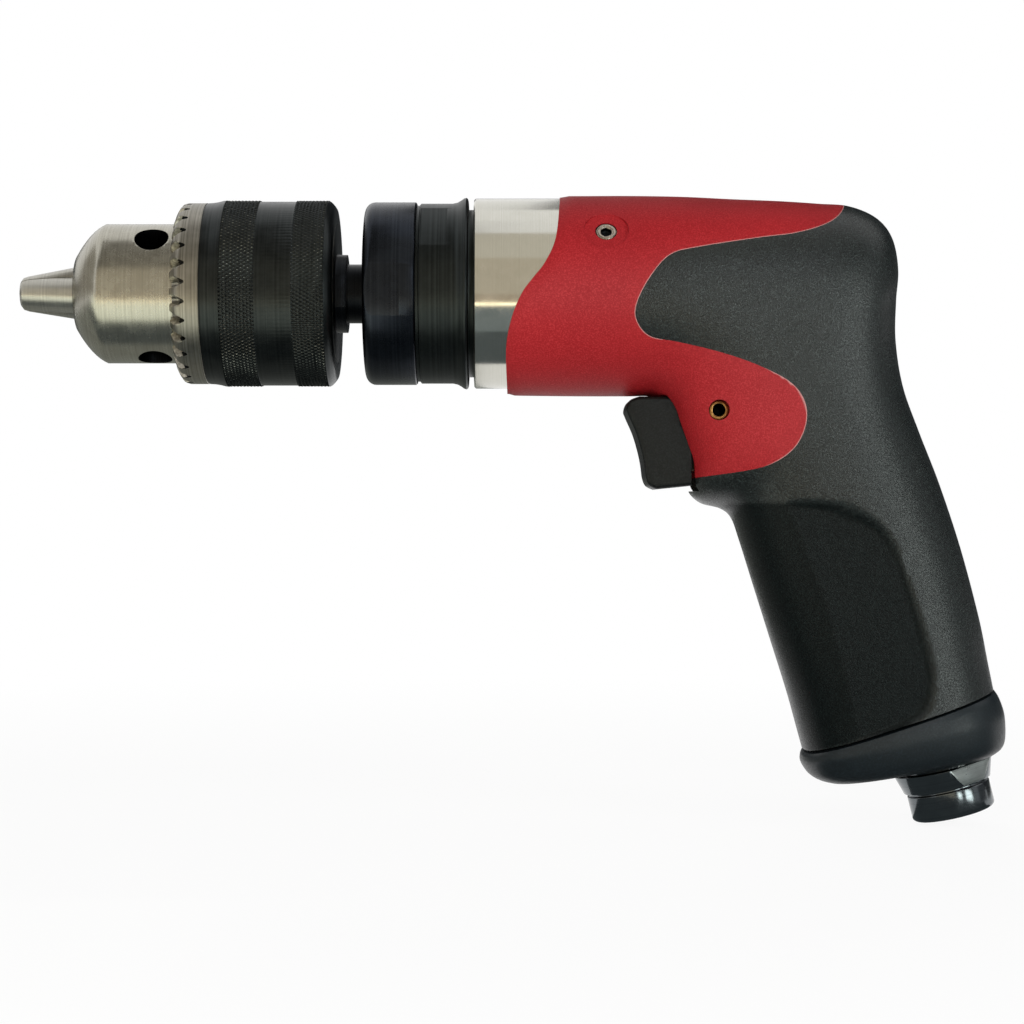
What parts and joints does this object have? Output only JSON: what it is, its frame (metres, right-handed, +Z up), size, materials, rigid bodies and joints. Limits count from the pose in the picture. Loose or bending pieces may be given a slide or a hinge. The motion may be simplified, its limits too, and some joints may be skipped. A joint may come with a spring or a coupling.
{
  "type": "air drill",
  "caption": "Pistol-grip pneumatic drill with a key chuck, planetary reduction, vane motor, sliding trigger valve and bottom air inlet.",
  "frame": {"origin": "centre of the closed jaw tips, on the spindle axis", "axes": "+X back along the spindle axis from the jaw tips, +Z up away from the handle, +Y to the side away from the camera"},
  "size_m": [0.2274, 0.046, 0.1448],
  "materials": {
    "chuck_steel": "turned and oiled",
    "jaw_steel": "ground",
    "sleeve_black": "black oxide",
    "spindle_steel": "turned",
    "nut_black": "satin black",
    "case_black": "satin black",
    "felt": "pressed felt",
    "bearing_steel": "polished",
    "bearing_brass": "pressed cage",
    "gear_steel": "hobbed",
    "barrel_aluminium": "turned and clear",
    "motor_iron": "ground",
    "vane_resin": "laminated",
    "housing_red": "fine grain",
    "grip_black": "coarse grain",
    "screw_steel": "plain",
    "valve_brass": "turned",
    "trigger_black": "satin",
    "seal_rubber": "moulded",
    "cap_black": "satin",
    "inlet_steel": "dark plated"
  },
  "bodies": {
    "drill": {"clamp_nut": "nut_black", "gear_case": "case_black", "spindle_seal": "felt", "front_bearing_outer": "bearing_steel", "rear_bearing_outer": "bearing_steel", "ring_gear": "gear_steel", "barrel": "barrel_aluminium", "front_end_plate": "motor_iron", "cylinder": "motor_iron", "rear_end_plate": "motor_iron", "cylinder_dowel": "spindle_steel", "wave_washer": "spindle_steel", "rotor_front_bearing_outer": "bearing_steel", "rotor_rear_bearing_outer": "bearing_steel", "housing": "housing_red", "grip": "grip_black", "lock_screws": "screw_steel", "cross_pin": "valve_brass", "stem_seal": "seal_rubber", "valve_bush": "valve_brass", "valve_spring": "screw_steel", "end_cap": "cap_black", "silencer": "felt", "inlet_bush": "inlet_steel", "inlet_seal": "seal_rubber", "inlet_strainer": "valve_brass"},
    "spindle": {"spindle": "spindle_steel", "chuck_body": "chuck_steel", "chuck_screw": "chuck_steel", "planet_pins": "spindle_steel", "bearing_spacer": "spindle_steel", "retaining_ring": "spindle_steel", "front_bearing_inner": "bearing_steel", "rear_bearing_inner": "bearing_steel"},
    "sleeve": {"chuck_sleeve": "sleeve_black", "chuck_nut": "spindle_steel"},
    "jaw_1": {"chuck_jaw_1": "jaw_steel"},
    "jaw_2": {"chuck_jaw_2": "jaw_steel"},
    "jaw_3": {"chuck_jaw_3": "jaw_steel"},
    "planet_1": {"planet_gear_1": "gear_steel"},
    "planet_2": {"planet_gear_2": "gear_steel"},
    "planet_3": {"planet_gear_3": "gear_steel"},
    "rotor": {"rotor": "gear_steel", "vanes": "vane_resin", "sun_pinion": "gear_steel", "rotor_front_bearing_inner": "bearing_steel", "rotor_rear_bearing_inner": "bearing_steel"},
    "spindle_balls": {"front_bearing_balls": "bearing_brass", "rear_bearing_balls": "bearing_brass"},
    "rotor_balls": {"rotor_front_bearing_balls": "bearing_brass", "rotor_rear_bearing_balls": "bearing_brass"},
    "trigger": {"trigger": "trigger_black", "valve_stem": "screw_steel", "valve_poppet": "seal_rubber"}
  },
  "joints": [
    {"name": "spindle_spin", "type": "hinge", "parent": "drill", "child": "spindle", "pos_m": [0.09, 0, 0], "axis": [1, 0, 0], "continuous": true},
    {"name": "rotor_spin", "type": "hinge", "parent": "drill", "child": "rotor", "pos_m": [0.146, 0, 0], "axis": [1, 0, 0], "continuous": true},
    {"name": "spindle_balls_spin", "type": "hinge", "parent": "drill", "child": "spindle_balls", "pos_m": [0.09, 0, 0], "axis": [1, 0, 0], "continuous": true},
    {"name": "rotor_balls_spin", "type": "hinge", "parent": "drill", "child": "rotor_balls", "pos_m": [0.146, 0, 0], "axis": [1, 0, 0], "continuous": true},
    {"name": "planet_1_spin", "type": "hinge", "parent": "spindle", "child": "planet_1", "pos_m": [0.1156, 0, 0.0105], "axis": [1, 0, 0], "continuous": true},
    {"name": "planet_2_spin", "type": "hinge", "parent": "spindle", "child": "planet_2", "pos_m": [0.1156, -0.00909, -0.00525], "axis": [1, 0, 0], "continuous": true},
    {"name": "planet_3_spin", "type": "hinge", "parent": "spindle", "child": "planet_3", "pos_m": [0.1156, 0.00909, -0.00525], "axis": [1, 0, 0], "continuous": true},
    {"name": "sleeve_turn", "type": "hinge", "parent": "spindle", "child": "sleeve", "pos_m": [0.055, 0, 0], "axis": [1, 0, 0], "range_deg": [0, 3983.46]},
    {"name": "jaw_1_slide", "type": "slide", "parent": "spindle", "child": "jaw_1", "axis": [0.9781, -0.2026, -0.0468], "range_m": [0, 0.02766]},
    {"name": "jaw_2_slide", "type": "slide", "parent": "spindle", "child": "jaw_2", "axis": [0.9781, 0.1418, -0.1521], "range_m": [0, 0.02766]},
    {"name": "jaw_3_slide", "type": "slide", "parent": "spindle", "child": "jaw_3", "axis": [0.9781, 0.0608, 0.1988], "range_m": [0, 0.02766]},
    {"name": "trigger_slide", "type": "slide", "parent": "drill", "child": "trigger", "axis": [1, 0, 0], "range_m": [0, 0.005], "stiffness_N_per_m": 1200, "springref_m": -0.008, "deforming": ["valve_spring"]}
  ],
  "couplings": [
    {"joint": "rotor_spin", "follows": "spindle_spin", "ratio": 5},
    {"joint": "spindle_balls_spin", "follows": "spindle_spin", "ratio": 0.40234},
    {"joint": "rotor_balls_spin", "follows": "spindle_spin", "ratio": 1.95},
    {"joint": "planet_1_spin", "follows": "spindle_spin", "ratio": -2.6667},
    {"joint": "planet_2_spin", "follows": "spindle_spin", "ratio": -2.6667},
    {"joint": "planet_3_spin", "follows": "spindle_spin", "ratio": -2.6667},
    {"joint": "sleeve_turn", "follows": "jaw_1_slide", "rad_per_m": 2513.3},
    {"joint": "jaw_2_slide", "follows": "jaw_1_slide", "ratio": 1},
    {"joint": "jaw_3_slide", "follows": "jaw_1_slide", "ratio": 1}
  ]
}
